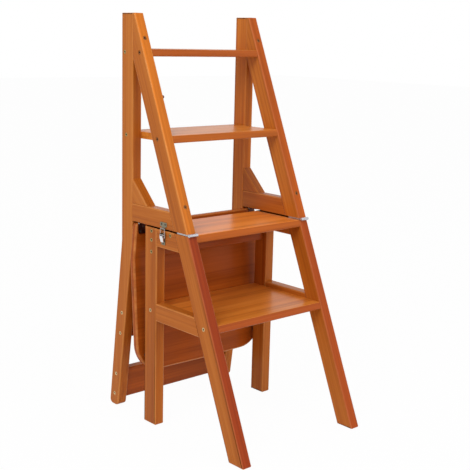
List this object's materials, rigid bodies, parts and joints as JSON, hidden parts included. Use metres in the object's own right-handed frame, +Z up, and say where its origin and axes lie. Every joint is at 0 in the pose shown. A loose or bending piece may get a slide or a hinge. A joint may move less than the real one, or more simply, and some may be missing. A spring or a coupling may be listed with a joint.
{
  "type": "folding library step chair",
  "caption": "Wooden library steps whose upper half folds over on hinges into a side chair, with a drop seat board, hinged side frames and draw latches.",
  "frame": {"origin": "on the floor, midway between the sides and midway between the foremost and rearmost points", "axes": "+Z up, -Y the side that is climbed, +X to the right of someone who faces the steps"},
  "size_m": [0.378, 0.467, 0.9],
  "materials": {
    "frame_timber": "satin varnish, orange-brown",
    "step_timber": "satin varnish, orange-brown, grain across the steps",
    "seat_timber": "satin varnish, red-brown",
    "hinge_steel": "bright plated steel",
    "latch_steel": "bright plated steel",
    "dark_rubber": "dark red-brown, matte"
  },
  "bodies": {
    "lower_half": {"lower_leg_left": "frame_timber", "lower_leg_right": "frame_timber", "lower_stile_left": "frame_timber", "lower_stile_right": "frame_timber", "lower_top_rail_left": "frame_timber", "lower_top_rail_right": "frame_timber", "lower_mid_rail_left": "frame_timber", "lower_mid_rail_right": "frame_timber", "rear_apron": "frame_timber", "step_1": "step_timber", "step_2": "step_timber", "fold_hinge_lower_leaf_left": "hinge_steel", "fold_hinge_lower_leaf_right": "hinge_steel", "fold_hinge_pin_left": "hinge_steel", "fold_hinge_pin_right": "hinge_steel", "latch_base_left": "latch_steel", "latch_base_right": "latch_steel", "latch_pin_left": "latch_steel", "latch_pin_right": "latch_steel"},
    "upper_half": {"post_left": "frame_timber", "post_right": "frame_timber", "upper_stile_left": "frame_timber", "upper_stile_right": "frame_timber", "seat_rail_left": "frame_timber", "seat_rail_right": "frame_timber", "gusset_left": "frame_timber", "gusset_right": "frame_timber", "back_mid_rail": "frame_timber", "crest_rail": "frame_timber", "step_3": "step_timber", "step_4": "step_timber", "fold_hinge_upper_leaf_left": "hinge_steel", "fold_hinge_upper_leaf_right": "hinge_steel", "seat_hinge_rail_leaf_left": "hinge_steel", "seat_hinge_rail_leaf_right": "hinge_steel", "seat_hinge_pin_left": "hinge_steel", "seat_hinge_pin_right": "hinge_steel", "latch_keeper_left": "latch_steel", "latch_keeper_right": "latch_steel", "stop_stud": "dark_rubber"},
    "seat": {"seat_board": "seat_timber", "seat_bumper_left": "dark_rubber", "seat_bumper_right": "dark_rubber", "seat_hinge_seat_leaf_left": "hinge_steel", "seat_hinge_seat_leaf_right": "hinge_steel"},
    "latch_lever_left": {"latch_lever_left": "latch_steel"},
    "latch_bail_left": {"latch_bail_left": "latch_steel"},
    "latch_lever_right": {"latch_lever_right": "latch_steel"},
    "latch_bail_right": {"latch_bail_right": "latch_steel"}
  },
  "joints": [
    {"name": "fold", "type": "hinge", "parent": "lower_half", "child": "upper_half", "pos_m": [0, -0.04947, 0.4503], "axis": [1, 0, 0], "range_deg": [0, 180]},
    {"name": "seat_swing", "type": "hinge", "parent": "upper_half", "child": "seat", "pos_m": [0, 0.12684, 0.44895], "axis": [1, 0, 0], "range_deg": [-86, 0]},
    {"name": "latch_left", "type": "hinge", "parent": "lower_half", "child": "latch_lever_left", "pos_m": [-0.1819, 0.03383, 0.4395], "axis": [0, 1, 0], "range_deg": [0, 100]},
    {"name": "latch_loop_left", "type": "hinge", "parent": "latch_lever_left", "child": "latch_bail_left", "pos_m": [-0.1803, 0.03383, 0.4335], "axis": [0, -1, 0], "range_deg": [0, 160]},
    {"name": "latch_right", "type": "hinge", "parent": "lower_half", "child": "latch_lever_right", "pos_m": [0.1819, 0.03383, 0.4395], "axis": [0, -1, 0], "range_deg": [0, 100]},
    {"name": "latch_loop_right", "type": "hinge", "parent": "latch_lever_right", "child": "latch_bail_right", "pos_m": [0.1803, 0.03383, 0.4335], "axis": [0, 1, 0], "range_deg": [0, 160]}
  ],
  "couplings": [
    {"joint": "seat_swing", "follows": "fold", "ratio": -0.47778},
    {"joint": "latch_loop_left", "follows": "latch_left", "ratio": 1.6},
    {"joint": "latch_loop_right", "follows": "latch_right", "ratio": 1.6}
  ]
}
